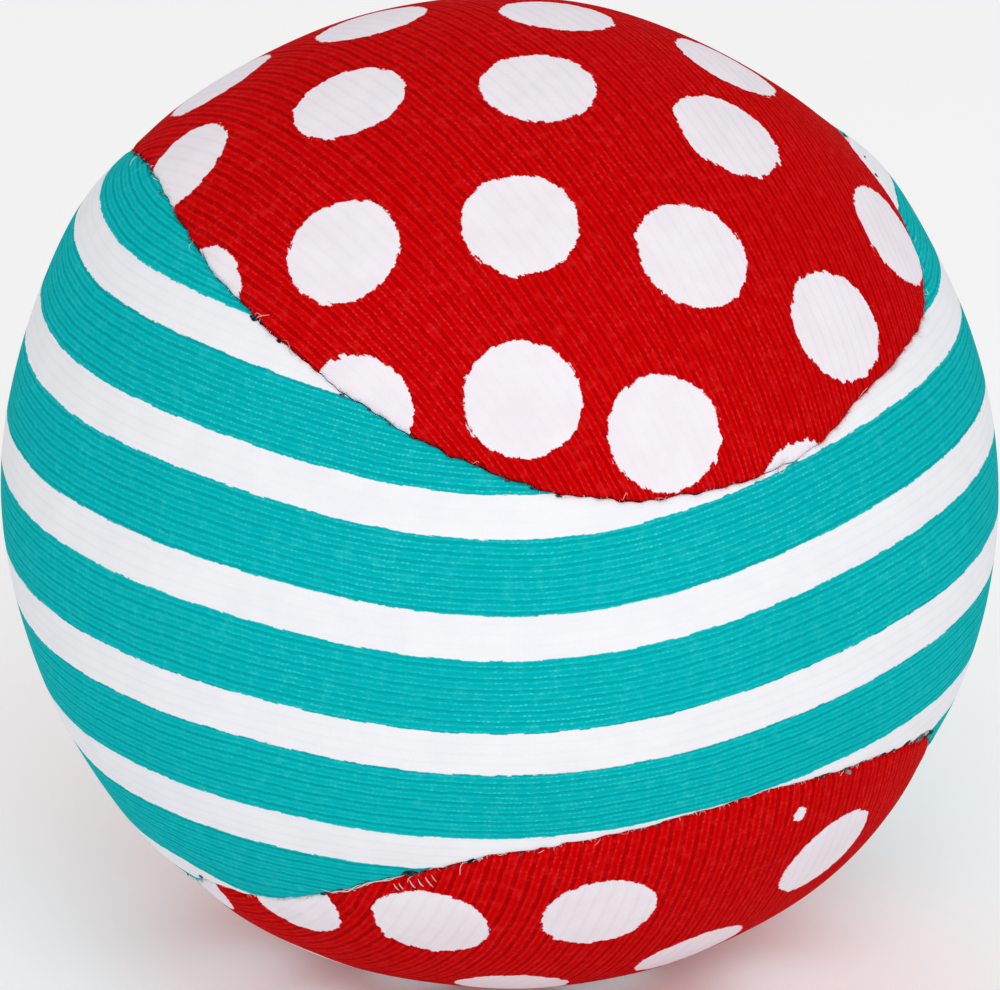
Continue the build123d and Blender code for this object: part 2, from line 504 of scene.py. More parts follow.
def stripe_phase(longitude, latitude):
    """Whole numbers fall on the middle of a white stripe."""
    pull = gauss(longitude - WAIST_PULL_LONGITUDE, WAIST_PULL_WIDTH)
    lean = STRIPE_LEAN_DEG * np.sin(np.radians(longitude))
    straight = latitude + (WAIST_PULL_DEG + WAIST_PULL_GROWTH * latitude) * pull - lean
    rough = (straight - FIRST_STRIPE_DEG) / STRIPE_PERIOD_DEG
    low = nearness(longitude, latitude, LOW_CORNER, LOW_CORNER_SIZE)
    high = nearness(longitude, latitude, HIGH_CORNER, HIGH_CORNER_SIZE)
    return rough + STRIPE_GROWTH * rough**2 + LOW_CORNER_PULL * low + HIGH_CORNER_PULL * high


def azimuthal(points_deg, lobe_sign):
    """Directions for points in degrees from a dotted lobe's middle: X, then along the panel."""
    reach = np.radians(np.linalg.norm(points_deg, axis=1))
    heading = np.arctan2(points_deg[:, 1], points_deg[:, 0])
    return np.stack([
        np.sin(reach) * np.cos(heading),
        np.sin(reach) * np.sin(heading) * lobe_sign,
        np.cos(reach) * lobe_sign,
    ], axis=1)


# Dot rows on each dotted lobe, in degrees from its middle: across, then along the
# panel. The cloth is stretched over the lobe, so rows bend and fan a little, and
# the strays are dots pulled off their row, named by their place in it.
DOT_ROWS = (
    {"lobe": 1, "first": (-4.1, -17.4), "along_row": (18.2, -10.8), "next_row": (-12.0, -17.2),
     "bend_along": (0.5, 0.7), "fan": (-0.15, 0.26), "bend_across": (0.4, -0.5), "front_end": 80.0,
     "strays": {
         (2, 0): (5.4, 0.8), (2, -1): (7.0, 1.5), (2, 2): (0.9, -2.2), (1, 0): (1.6, -0.6),
         (1, -1): (-1.6, -0.2), (-1, 1): (-1.3, -1.4), (-1, -1): (0.6, 1.2), (-2, -1): (1.8, -1.2),
         (-2, 0): (-0.3, 1.0), (-2, 1): (-0.8, -0.9), (1, 2): (-1.0, -0.2), (0, 2): (1.0, 0.5),
         (-1, 2): (-0.6, 0.9), (0, 0): (0.7, 0.0), (2, 1): (-0.3, 0.1),
     }},
    {"lobe": -1, "first": (-34.0, 41.3), "along_row": (17.2, 12.3), "next_row": (18.9, -13.3),
     "bend_along": (0.0, 0.0), "fan": (0.0, 0.0), "bend_across": (0.0, 0.0), "front_end": 58.0,
     "strays": {
         (-1, 0): (3.7, -2.6), (1, 0): (1.4, -0.8), (1, 1): (1.8, -1.5), (-1, 1): (1.5, -9.0),
         (2, 2): (0.5, -5.5),
     }},
)
DOT_ROW_REACH = 6
INK_BLOT = (11.4, 65.0)  # a small print flaw near the lower edge, degrees as above
INK_BLOT_RADIUS = 0.55 * MM
DOT_SPACING_DEG = 21.4
DOT_CROWDING = 0.70  # dots nearer than this share of the spacing are left out
STRETCHED_ROWS = 3
LOBE_DOT_REACH = 96  # degrees from a lobe's middle to its last dots
DOTS_START = 30  # dots this far out are placed first
RIB_SWEEP_DEG = 7.1  # how far the red ribs sweep sideways towards the tip of the upper lobe
RIB_SWEEP_START, RIB_SWEEP_RUN = 90, 60  # longitudes over which the sweep sets in
RIB_SWEEP_END = 40  # latitude where there is no sweep


def dot_spot(rows, i, j):
    """Where dot j of row i lies, in degrees from its lobe's middle."""
    first, step, next_row, bend_along, fan, bend_across = (
        np.array(rows[key])
        for key in ("first", "along_row", "next_row", "bend_along", "fan", "bend_across")
    )
    spot = first + i * step + j * next_row
    if max(abs(i), abs(j)) < STRETCHED_ROWS:
        spot = spot + i * i * bend_along + i * j * fan + j * j * bend_across
    return spot + np.array(rows["strays"].get((i, j), (0.0, 0.0)))


def dot_centres():
    """Every printed dot, row by row from each lobe, leaving out any that would crowd."""
    centres = []
    crowd = math.cos(math.radians(DOT_SPACING_DEG * DOT_CROWDING))
    counts = range(-DOT_ROW_REACH, DOT_ROW_REACH + 1)
    for rows in DOT_ROWS:
        spots = []
        for i in counts:
            for j in counts:
                spot = dot_spot(rows, i, j)
                front = -spot[1] * rows["lobe"]
                if np.linalg.norm(spot) < LOBE_DOT_REACH and front < rows["front_end"]:
                    spots.append(spot)
        spots.sort(key=lambda spot: abs(np.linalg.norm(spot) - DOTS_START))
        for direction in azimuthal(np.array(spots), rows["lobe"]):
            if all(direction @ other < crowd for other in centres):
                centres.append(direction)
    return np.array(centres)


def striped_print(directions):
    longitude, latitude = STRIPED_AXES.coordinates(directions)
    phase = stripe_phase(longitude, latitude)
    return {"stripe": phase}, np.stack([longitude * DEG_MM, phase * STRIPE_PERIOD_MM], axis=1)


def dotted_print(directions):
    longitude, latitude = DOTTED_AXES.coordinates(directions)
    nearest = np.full(len(directions), -1.0)
    for centre in dot_centres():
        nearest = np.maximum(nearest, directions @ centre)
    inside = DOT_RADIUS - np.arccos(np.clip(nearest, -1, 1)) * BALL_R
    blot = azimuthal(np.array([INK_BLOT]), -1)[0]
    blot_inside = INK_BLOT_RADIUS - np.arccos(np.clip(directions @ blot, -1, 1)) * BALL_R
    tip = np.clip((longitude - RIB_SWEEP_START) / RIB_SWEEP_RUN, 0, None)
    swept = latitude - RIB_SWEEP_DEG * tip**2 * (1 - latitude / RIB_SWEEP_END)
    uv = np.stack([longitude, swept], axis=1) * DEG_MM
    return {"dot_mm": np.maximum(inside, blot_inside) / MM}, uv


# ---- node helpers ----
class Nodes:
    """Short calls for building a material's node tree."""

    def __init__(self, name):
        self.material = bpy.data.materials.new(name)
        self.material.use_nodes = True
        self.tree = self.material.node_tree
        self.shader = self.tree.nodes["Principled BSDF"]

    def put(self, socket, value):
        """Give a socket a number, a colour or the output of another node."""
        if isinstance(value, bpy.types.NodeSocket):
            self.tree.links.new(value, socket)
        else:
            socket.default_value = value

    def add(self, kind, inputs=None, **settings):
        node = self.tree.nodes.new(kind)
        for key, value in settings.items():
            setattr(node, key, value)
        for key, value in (inputs or {}).items():
            self.put(node.inputs[key], value)
        return node

    def math(self, operation, *values, clamp=False):
        inputs = dict(enumerate(values))
        return self.add("ShaderNodeMath", inputs, operation=operation, use_clamp=clamp).outputs[0]

    def times(self, a, b):
        return self.math("MULTIPLY", a, b)

    def fit(self, value, scale, shift):
        """value * scale + shift."""
        return self.math("MULTIPLY_ADD", value, scale, shift)

    def centred(self, value):
        """A number from 0 to 1 moved to lie about 0."""
        return self.math("SUBTRACT", value, 0.5)

    def ramp(self, value, low, high):
        """Smooth step of value, 0 at low and 1 at high."""
        inputs = {"Value": value, "From Min": low, "From Max": high}
        node = self.add("ShaderNodeMapRange", inputs, interpolation_type="SMOOTHSTEP")
        return node.outputs["Result"]

    def mix(self, share, a, b):
        inputs = {"Factor": share, "A": a, "B": b}
        return self.add("ShaderNodeMix", inputs, data_type="RGBA").outputs["Result"]

    def attribute(self, name):
        return self.add("ShaderNodeAttribute", attribute_name=name).outputs["Fac"]

    def side_on(self):
        """0 where the surface faces the viewer, 1 where it is seen at a slant."""
        facing = self.add("ShaderNodeLayerWeight", {"Blend": 0.5}).outputs["Facing"]
        return self.ramp(facing, 0.04, 0.48)

    def vector(self, *parts):
        return self.add("ShaderNodeCombineXYZ", dict(enumerate(parts))).outputs[0]

    def split_uv(self):
        uv = self.add("ShaderNodeUVMap", uv_map="knit").outputs[0]
        return self.add("ShaderNodeSeparateXYZ", {0: uv}).outputs[:2]

    def noise(self, vector, detail=2.0, roughness=0.5):
        inputs = {"Vector": vector, "Scale": 1.0, "Detail": detail, "Roughness": roughness}
        return self.add("ShaderNodeTexNoise", inputs).outputs["Fac"]

    def grain(self, scale, detail=2.0, roughness=0.5):
        """Noise over the object, with about that many lumps to the metre."""
        place = self.add("ShaderNodeTexCoord").outputs["Object"]
        node = self.add("ShaderNodeVectorMath", {0: place, "Scale": scale}, operation="SCALE")
        return self.noise(node.outputs[0], detail, roughness)

    def random(self, *parts):
        """A random number from 0 to 1, the same wherever the parts are the same."""
        return self.add("ShaderNodeTexWhiteNoise", {"Vector": self.vector(*parts)}).outputs["Value"]

    def bump(self, height, distance, strength=1.0, normal=None):
        inputs = {"Strength": strength, "Distance": distance, "Height": height}
        if normal is not None:
            inputs["Normal"] = normal
        return self.add("ShaderNodeBump", inputs).outputs[0]

    def finish(self, color, roughness, normal=None, specular=0.01):
        inputs = {"Base Color": color, "Roughness": roughness, "Specular IOR Level": specular}
        if normal is not None:
            inputs["Normal"] = normal
        for key, value in inputs.items():
            self.put(self.shader.inputs[key], value)
        return self.material


def rgb(red, green, blue):
    return (red, green, blue, 1.0)


BACK_AND_SEAM_SHADE = rgb(0.010, 0.012, 0.022)  # the cloth's dark inner side, and painted shade on the foot of its cut edges down in the seam


def rib_profile(n, across, rib_mm, groove_mm):
    """Height of the fine ribs, 0 to 1, and a mask of the deeper groove at every second one."""
    fine = n.fit(n.math("COSINE", n.times(across, 2 * math.pi / rib_mm)), 0.5, 0.5)
    place = n.math("FRACT", n.fit(across, 0.5 / rib_mm, 0.25))
    away = n.times(n.math("ABSOLUTE", n.centred(place)), 2 * rib_mm)
    return fine, n.ramp(away, groove_mm, 0.02)


def knit_stitches(n, along, across, rib_mm, stitch_mm, seed):
    """Short dashes, one per stitch, staggered rib by rib: a mask and each stitch's chance."""
    rib = n.math("ROUND", n.math("DIVIDE", across, rib_mm))
    shift = n.times(n.random(rib, seed, SEED), 3.0)
    place = n.math("ADD", n.math("DIVIDE", along, stitch_mm), shift)
    off_middle = n.math("ABSOLUTE", n.centred(n.math("FRACT", place)))
    return n.ramp(off_middle, 0.42, 0.20), n.random(n.math("FLOOR", place), rib, seed)


def knit_material(look, ink_mask):
    """Ribbed knit with a printed pattern, painted groove shade and painted stitch highlights;
    ink_mask builds the white mask, 0 to 1.
    """
    n = Nodes(look["name"])
    rib_mm, stitch_mm = look["rib_mm"], look["stitch_mm"]
    along, across = n.split_uv()
    drift, jitter = n.centred(n.grain(160.0, 3.0)), n.centred(n.grain(1900.0, 1.0))
    waver = n.fit(jitter, rib_mm * 0.40, n.times(drift, rib_mm * 1.1))
    across = n.math("ADD", across, waver)
    side_on = n.side_on()
    fine, groove = rib_profile(n, across, rib_mm, look["groove_mm"])
    dash, chance = knit_stitches(n, along, across, rib_mm, stitch_mm, 3.0)
    between = n.math("ADD", across, rib_mm / 2)
    gap_dash, gap_chance = knit_stitches(n, along, between, rib_mm, stitch_mm * 1.2, 5.0)
    patchy = n.ramp(n.grain(85.0), 0.38, 0.62)

    # Painted shade: the rib troughs are painted darker than the crests.
    contrast = look["rib_contrast"]
    color = n.mix(n.fit(fine, contrast, 1 - contrast), look["dark"], look["base"])
    # Painted highlight: light dashes on the stitch crests, weaker or kept where the cloth is seen
    # at a slant.
    stitch_glint = n.times(n.times(n.ramp(fine, 0.70, 0.99), dash), n.ramp(chance, 0.15, 1.0))
    stitch_glint = n.times(stitch_glint, n.fit(patchy, 0.65, 0.35))
    stitch_glint = n.times(stitch_glint, n.fit(side_on, look["stitch_glint_side"] - 1.0, 1.0))
    color = n.mix(n.times(stitch_glint, look["stitch_glint_strength"]), color, look["light"])
    # Painted shade in every second, deeper groove, broken stitch by stitch and stronger where the
    # cloth is seen at a slant.
    dotted = n.fit(n.times(gap_dash, gap_chance), 0.5, 0.5)
    front = look["groove_front"]
    groove_shade = n.times(n.times(groove, dotted), n.fit(side_on, look["groove_side"] - front, front))
    groove_shade = n.times(groove_shade, n.fit(patchy, -0.35, 1.0))
    color = n.mix(groove_shade, color, look["groove_shade"])
    mottle = n.grain(1300.0, 4.0, 0.7)
    color = n.mix(n.times(n.ramp(mottle, 0.50, 0.72), look["mottle"]), color, look["light"])
    color = n.mix(n.times(n.ramp(mottle, 0.50, 0.30), look["mottle"]), color, look["dark"])
    cloud = n.ramp(n.grain(60.0, 4.0), 0.3, 0.7)
    color = n.mix(n.times(cloud, 0.16), color, look["dark"])

    ink = ink_mask(n, along, across)
    ink_color = n.mix(n.ramp(n.grain(420.0, 3.0), 0.30, 0.70), look["ink"], look["ink_shade"])
    # Painted shade: faint dark grooves inside the print, stronger at a slant.
    thin = n.times(groove, n.fit(side_on, 0.035, 0.01))
    color = n.mix(ink, color, n.mix(thin, ink_color, look["dark"]))
    # Painted shade: the foot of the cut edge, down in the seam, is painted near black, and so is
    # the cloth's inner side.
    color = n.mix(n.ramp(n.attribute("edge_mm"), -0.16, -0.42), color, BACK_AND_SEAM_SHADE)

    ridge = n.fit(dash, 0.15, n.fit(groove, -0.9, n.times(fine, 0.5)))
    normal = n.bump(n.times(ridge, n.fit(ink, -0.90, 1.0)), look["relief"])
    normal = n.bump(n.grain(4200.0, 3.0), 0.03 * MM, 0.6, normal)
    return n.finish(color, n.fit(ink, -0.06, n.fit(n.grain(700.0), 0.16, 0.72)), normal)


# In each look the dark colour is painted shade in the rib troughs and also the darker mottle, the
# deep colour is painted shade in the deeper grooves, and the light colour is a painted highlight on
# the stitch crests and also the lighter mottle.
TEAL_KNIT = {
    "name": "teal_striped_knit", "jag": 0.030 * MM,
    "base": rgb(0.0010, 0.490, 0.512), "light": rgb(0.060, 0.720, 0.735),
    "dark": rgb(0.0010, 0.350, 0.375), "groove_shade": rgb(0.001, 0.215, 0.245),
    "ink": rgb(0.86, 0.862, 0.90), "ink_shade": rgb(0.83, 0.832, 0.875),
    "rib_mm": 0.37, "stitch_mm": 0.30, "rib_contrast": 0.62, "relief": 0.040 * MM,
    "groove_mm": 0.13, "groove_front": 0.14, "groove_side": 0.62,
    "stitch_glint_strength": 0.70, "stitch_glint_side": 0.40, "mottle": 0.18,
}
RED_KNIT = {
    "name": "red_dotted_knit", "jag": 0.040 * MM,
    "base": rgb(0.690, 0.0012, 0.0018), "light": rgb(0.780, 0.022, 0.024),
    "dark": rgb(0.400, 0.0008, 0.0016), "groove_shade": rgb(0.27, 0.001, 0.002),
    "ink": rgb(0.865, 0.815, 0.870), "ink_shade": rgb(0.83, 0.775, 0.835),
    "rib_mm": 0.455, "stitch_mm": 0.36, "rib_contrast": 0.68, "relief": 0.070 * MM,
    "groove_mm": 0.20, "groove_front": 0.38, "groove_side": 0.85,
    "stitch_glint_strength": 0.75, "stitch_glint_side": 1.0, "mottle": 0.36,
}


def stripe_mask(n, along, across):
    """White where the stripe phase is near a whole number; the edge jogs from rib to rib."""
    phase = n.attribute("stripe")
    here = n.vector(n.times(along, 0.45), n.times(across, 0.8), 4.0)
    jog = n.math("SNAP", n.times(n.centred(n.noise(here)), 0.26), 0.06)
    wobble_mm = n.fit(n.centred(n.grain(3200.0)), 0.15, jog)
    from_centre = n.times(n.math("PINGPONG", phase, 0.5), STRIPE_PERIOD_MM)
    half = STRIPE_WHITE_SHARE * STRIPE_PERIOD_MM / 2
    return n.ramp(n.math("ADD", from_centre, wobble_mm), half + 0.035, half - 0.035)


def dot_mask(n, along, across):
    """White inside a dot; the edge is serrated, with a few long strands along the ribs."""
    inside = n.attribute("dot_mm")
    rib = n.math("ROUND", n.math("DIVIDE", across, RED_KNIT["rib_mm"]))
    row = n.math("FLOOR", n.times(along, 0.5))
    step = n.centred(n.random(rib, row, 7.0))
    strand = n.math("POWER", n.random(rib, row, 31.0), 24.0)
    wobble = n.fit(step, 0.18, n.times(strand, 0.22))
    wobble = n.fit(n.centred(n.grain(330.0, 1.0)), 0.26, wobble)
    wobble = n.fit(n.centred(n.grain(2600.0, 3.0, 0.7)), 0.55, wobble)
    return n.ramp(n.math("ADD", inside, wobble), -0.035, 0.035)


def plain_material(name, color, other, scale, roughness, bump_height):
    """A matt material whose colour and surface vary with noise of one scale."""
    n = Nodes(name)
    patch = n.ramp(n.grain(scale, 4.0), 0.3, 0.7)
    fine = n.grain(scale * 7, 3.0)
    rough = n.fit(fine, 0.2, roughness - 0.1)
    return n.finish(n.mix(patch, color, other), rough, n.bump(fine, bump_height))


def crumb_material():
    """Bits of foam and glue: mostly near black with a blue cast, some pale grey."""
    n = Nodes("seam_crumbs")
    speckle = n.times(n.centred(n.grain(5000.0, 3.0)), 0.5)
    tone = n.math("ADD", n.attribute("tone"), speckle, clamp=True)
    shade = n.mix(tone, rgb(0.006, 0.011, 0.022), rgb(0.62, 0.62, 0.64))
    return n.finish(shade, 0.85, n.bump(n.grain(9000.0), 0.02 * MM))


def fibre_material():
    """Loose pale yarn, each fibre its own tint between white, peach and grey."""
    n = Nodes("loose_fibres")
    shade = n.mix(n.attribute("tone"), rgb(0.78, 0.78, 0.80), rgb(0.80, 0.36, 0.30))
    streak = n.times(n.grain(6000.0), 0.3)
    return n.finish(n.mix(streak, shade, rgb(0.35, 0.33, 0.36)), 0.8)


def cloth_material():
    """Unbleached plain-weave cotton, with painted shade between the threads."""
    n = Nodes("pouch_cloth")
    along, across = n.split_uv()
    warp, weft = (
        n.math("SINE", n.times(place, 2 * math.pi / WEAVE_PITCH_MM)) for place in (along, across)
    )
    weave = n.fit(n.times(warp, weft), 0.5, 0.5)
    slub = n.noise(n.vector(n.times(along, 0.4), n.times(across, 5.0)), 3.0)
    # Painted shade: the weave is painted darker where its threads dip, in the same pattern as its
    # bump.
    shade = n.mix(weave, rgb(0.50, 0.46, 0.38), rgb(0.74, 0.71, 0.62))
    shade = n.mix(n.times(n.ramp(slub, 0.45, 0.75), 0.35), shade, rgb(0.60, 0.52, 0.38))
    return n.finish(shade, n.fit(slub, 0.15, 0.80), n.bump(weave, 0.05 * MM))


def thread_material(name, color, dark):
    """Spun thread: fine fibres and slightly uneven dye."""
    n = Nodes(name)
    fibre = n.grain(5200.0, 3.0, 0.65)
    shade = n.mix(n.fit(n.grain(500.0), 0.4, n.times(fibre, 0.6)), dark, color)
    return n.finish(shade, n.fit(fibre, 0.2, 0.6), n.bump(fibre, 0.02 * MM))


def pellet_material():
    """Milky plastic, each pellet a little different, with tiny scuffs."""
    n = Nodes("pellet_plastic")
    each = n.add("ShaderNodeNewGeometry").outputs["Random Per Island"]
    scuff = n.grain(1500.0, 4.0)
    shade = n.mix(each, rgb(0.80, 0.79, 0.74), rgb(0.70, 0.69, 0.66))
    shade = n.mix(n.times(n.ramp(scuff, 0.58, 0.75), 0.25), shade, rgb(0.92, 0.91, 0.88))
    n.shader.inputs["Subsurface Weight"].default_value = 0.25
    n.shader.inputs["Subsurface Scale"].default_value = 1.0 * MM
    return n.finish(shade, n.fit(scuff, 0.25, 0.25), n.bump(scuff, 0.02 * MM), specular=0.5)


# ---- stage ----
def link_to_scene(name, data):
    made = bpy.data.objects.new(name, data)
    bpy.context.scene.collection.objects.link(made)
    return made


def add_camera():
    data = bpy.data.cameras.new("camera")
    camera = link_to_scene("camera", data)
    matrix = Matrix((CAMERA_RIGHT, CAMERA_UP, CAMERA_BACK)).transposed().to_4x4()
    matrix.translation = CAMERA_BACK * BALL_R * CAMERA_RADII
    camera.matrix_world = matrix
    data.sensor_width = SENSOR_WIDTH_MM
    data.lens = BALL_SHARE_OF_WIDTH / 2 * SENSOR_WIDTH_MM * math.sqrt(CAMERA_RADII**2 - 1)
    data.clip_start, data.clip_end = 0.01, 10
    bpy.context.scene.camera = camera


KEY_DISTANCE = 0.9
KEY_SIZE = 0.6
KEY_WATTS = 2.6
WHITE = rgb(1.0, 1.0, 1.0)
WORLD_STRENGTH = 0.72
FLOOR_GLOW = 0.09  # a lit sheet, so the background stays nearly white
FLOOR_HALF_SIZE = 60 * BALL_R


def add_light():
    """One broad lamp near the camera, a little above it and to the right."""
    data = bpy.data.lights.new("key", "AREA")
    data.shape = "DISK"
    data.size = KEY_SIZE
    data.energy = KEY_WATTS
    toward = CAMERA_BACK + CAMERA_UP * 0.30 + CAMERA_RIGHT * 0.12
    lamp = link_to_scene("key", data)
    lamp.location = toward.normalized() * KEY_DISTANCE
    lamp.rotation_mode = "QUATERNION"
    lamp.rotation_quaternion = toward.to_track_quat("Z", "Y")


def add_stage():
    far = FLOOR_HALF_SIZE
    corners = [(x, y, FLOOR_Z) for x, y in ((-far, -far), (far, -far), (far, far), (-far, far))]
    floor = make_object("floor", corners, [[0, 1, 2, 3]])
    n = Nodes("pale_floor")
    n.shader.inputs["Emission Color"].default_value = WHITE
    n.shader.inputs["Emission Strength"].default_value = FLOOR_GLOW
    floor.data.materials.append(n.finish(rgb(0.96, 0.96, 0.96), 0.9))
    world = bpy.data.worlds.new("studio")
    world.use_nodes = True
    background = world.node_tree.nodes["Background"]
    background.inputs["Color"].default_value = WHITE
    background.inputs["Strength"].default_value = WORLD_STRENGTH
    bpy.context.scene.world = world
    add_light()
    bpy.context.scene.view_settings.view_transform = "Standard"
    bpy.context.scene.view_settings.look = "None"


# ---- pieces ----
def settle(piece, material, slot, *nodes):
    """Dress a finished piece with its material, put it on the ball and hide the CAD parts it stands
    in for.
    """
    piece.data.materials.append(material)
    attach(piece, "root")
    if nodes:
        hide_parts(*nodes)


KNIT_PLY = {
    "radius": BALL_R, "step": 0.3 * MM, "edge_gap": KNIT_EDGE_GAP,
    "thickness": KNIT_THICK, "roll": 0.6 * MM, "even": True,
}
FOAM_PLY = {
    "radius": FOAM_R, "step": 0.6 * MM, "edge_gap": FOAM_EDGE_GAP, "jag": 0.0,
    "thickness": FOAM_THICK, "roll": 0.5 * MM, "even": False,
}

# Each panel: its name, its side of the seam, axes, print, look, ink mask and fuzz seed.
PANELS = (
    ("striped", STRIPED_SIDE, STRIPED_AXES, striped_print, TEAL_KNIT, stripe_mask, SEED + 2),
    ("dotted", -STRIPED_SIDE, DOTTED_AXES, dotted_print, RED_KNIT, dot_mask, SEED + 3),
)


def build_cover():
    """Both knit panels; returns their materials, which the fuzz on their edges shares."""
    materials = []
    for name, side, axes, print_for, look, ink_mask, _ in PANELS:
        ply = {**KNIT_PLY, "jag": look["jag"]}
        cover = closed_ply(f"{name}_cover", side, axes, ply, print_for)
        materials.append(knit_material(look, ink_mask))
        settle(cover, materials[-1], f"{name}_knit", f"{name}_knit_panel")
    return materials


def build_foam():
    material = plain_material(
        "backing_foam", rgb(0.012, 0.012, 0.014), rgb(0.028, 0.028, 0.032), 800, 0.9, 0.08 * MM
    )
    for name, side, axes, *_ in PANELS:
        foam = closed_ply(f"{name}_backing", side, axes, FOAM_PLY)
        settle(foam, material, "backing_foam", f"{name}_foam_backing")


# ---- the seam ----
def seam_direction_beside(index, aside):
    """Unit vectors a distance aside from the sewn seam, at the given seam samples."""
    swing = ((seam_stray[index] + aside) / BALL_R)[:, None]
    return unit(seam_out[index] * np.cos(swing) + seam_across[index] * np.sin(swing))


def beside_seam(turns, aside, lift):
    """Points beside the seam; lift is height over the knit there."""
    turns = np.asarray(turns, dtype=float)
    aside = np.broadcast_to(np.asarray(aside, dtype=float), turns.shape)
    index = np.round(turns * SEAM_SAMPLES).astype(int) % SEAM_SAMPLES
    directions = seam_direction_beside(index, aside)
    level = ply_radius(directions, index, np.abs(aside), BALL_R, KNIT_PLY["roll"])
    return directions * (level + lift)[:, None]


def build_seam_bead():
    """Glue between the raw edges of the two foam plies, its top just under the knit."""
    index = np.arange(0, SEAM_SAMPLES, 3)
    nothing = np.zeros(len(index))
    middle = seam_direction_beside(index, nothing)
    edge_drop = ply_radius(middle, index, nothing, BALL_R, KNIT_PLY["roll"]) - BALL_R
    half = FOAM_EDGE_GAP - 0.12 * MM
    uneven = loop_noise(seam_run[index], 1.6 * MM, 33.0)
    top = FOAM_R + edge_drop - 0.14 * MM + 0.10 * MM * uneven
    bottom = FOAM_INNER_R + 0.05 * MM * uneven
    section = ((-half, bottom), (-half, top), (half, top), (half, bottom))
    loops = [
        seam_direction_beside(index, nothing + aside) * radius[:, None]
        for aside, radius in section
    ]
    count, sides = len(index), len(section)
    points = np.stack(loops, axis=1).reshape(-1, 3)
    faces = []
    for here in range(count):
        there = (here + 1) % count
        for corner in range(sides):
            after = (corner + 1) % sides
            low, high = here * sides, there * sides
            faces.append([low + corner, low + after, high + after, high + corner])
    bead = make_object("seam_bead", points, faces)
    material = plain_material(
        "seam_glue", rgb(0.012, 0.014, 0.022), rgb(0.035, 0.037, 0.050), 1500, 0.55, 0.04 * MM
    )
    settle(bead, material, "seam_glue", "seam_glue_bead")


def icosahedron():
    """Corners and faces of a unit icosahedron, the start of every crumb."""
    ball = bmesh.new()
    bmesh.ops.create_icosphere(ball, subdivisions=1, radius=1.0)
    corners = np.array([corner.co[:] for corner in ball.verts])
    faces = [[corner.index for corner in face.verts] for face in ball.faces]
    ball.free()
    return corners, faces


CRUMB_CORNERS, CRUMB_FACES = icosahedron()

# The larger crumbs that show at the seam: how far round, aside, length and tone.
LARGE_CRUMBS = (
    (0.0283, 0.12, 0.80, 0.03), (0.0300, -0.05, 0.45, 0.00), (0.0350, 0.08, 0.45, 0.03),
    (0.0505, 0.15, 0.50, 0.10), (0.0560, 0.05, 0.40, 0.05), (0.0605, 0.05, 0.35, 0.15),
    (0.0835, 0.10, 0.45, 0.10), (0.0880, 0.12, 0.40, 0.05), (0.0925, 0.10, 0.50, 0.05),
    (0.2352, 0.30, 0.70, 0.12), (0.2290, 0.80, 0.45, 0.10), (0.2240, 0.35, 0.45, 0.20),
    (0.6870, 0.30, 1.10, 0.03), (0.6750, 0.10, 0.80, 0.00), (0.6735, 0.20, 0.50, 0.75),
    (0.7070, 0.05, 0.70, 0.05), (0.7030, 0.00, 0.50, 0.15), (0.6995, 0.10, 0.45, 0.05),
    (0.6065, 0.08, 0.60, 0.03), (0.5995, -0.25, 0.85, 0.40), (0.6005, 0.10, 0.70, 0.20),
    (0.5885, 0.10, 0.70, 0.05), (0.5855, 0.15, 0.55, 0.12), (0.5800, 0.10, 0.90, 0.05),
    (0.5755, 0.25, 1.20, 0.20), (0.5725, 0.40, 0.90, 0.60), (0.5700, 0.15, 1.10, 0.00),
    (0.5665, 0.30, 0.90, 0.10), (0.7370, 0.60, 0.60, 0.15), (0.7535, 0.40, 0.50, 0.05),
    (0.9640, 0.10, 0.60, 0.10),
)
SMALL_CRUMBS = 260
CRUMB_CLUSTERS = 26
PALE_CRUMB_SHARE = 0.22


def add_crumb(parts, rng, turn, aside, length, tone):
    """One irregular flake lying on the seam, its long side roughly along it."""
    index = int(round(turn * SEAM_SAMPLES)) % SEAM_SAMPLES
    centre = beside_seam([turn], aside, 0.02 * MM)[0]
    heading = seam_along[index] + seam_across[index] * rng.normal(0, 0.35)
    heading = heading / np.linalg.norm(heading)
    outward = centre / np.linalg.norm(centre)
    sideways = np.cross(outward, heading)
    width, height = length * rng.uniform(0.35, 0.60), length * rng.uniform(0.20, 0.36)
    size = np.array([length, width, height]) / 2
    corners = CRUMB_CORNERS * rng.uniform(0.55, 1.30, (len(CRUMB_CORNERS), 1)) * size
    parts.add(centre + corners @ np.array([heading, sideways, outward]), CRUMB_FACES, tone=tone)


def build_crumbs():
    rng = np.random.default_rng(SEED)
    parts = Parts()
    for turn, aside, length, tone in LARGE_CRUMBS:
        add_crumb(parts, rng, turn, aside * MM * STRIPED_SIDE, length * MM, tone)
    clusters = rng.uniform(0, 1, CRUMB_CLUSTERS)
    for _ in range(SMALL_CRUMBS):
        turn = (rng.choice(clusters) + rng.normal(0, 0.006)) % 1.0
        pale = rng.random() < PALE_CRUMB_SHARE
        tone = rng.uniform(0.5, 0.9) if pale else rng.uniform(0.0, 0.2)
        aside = rng.normal(0.03, 0.07) * MM * STRIPED_SIDE
        add_crumb(parts, rng, turn, aside, rng.uniform(0.10, 0.34) * MM, tone)
    settle(parts.build("seam_crumbs", smooth=False), crumb_material(), "backing_foam")


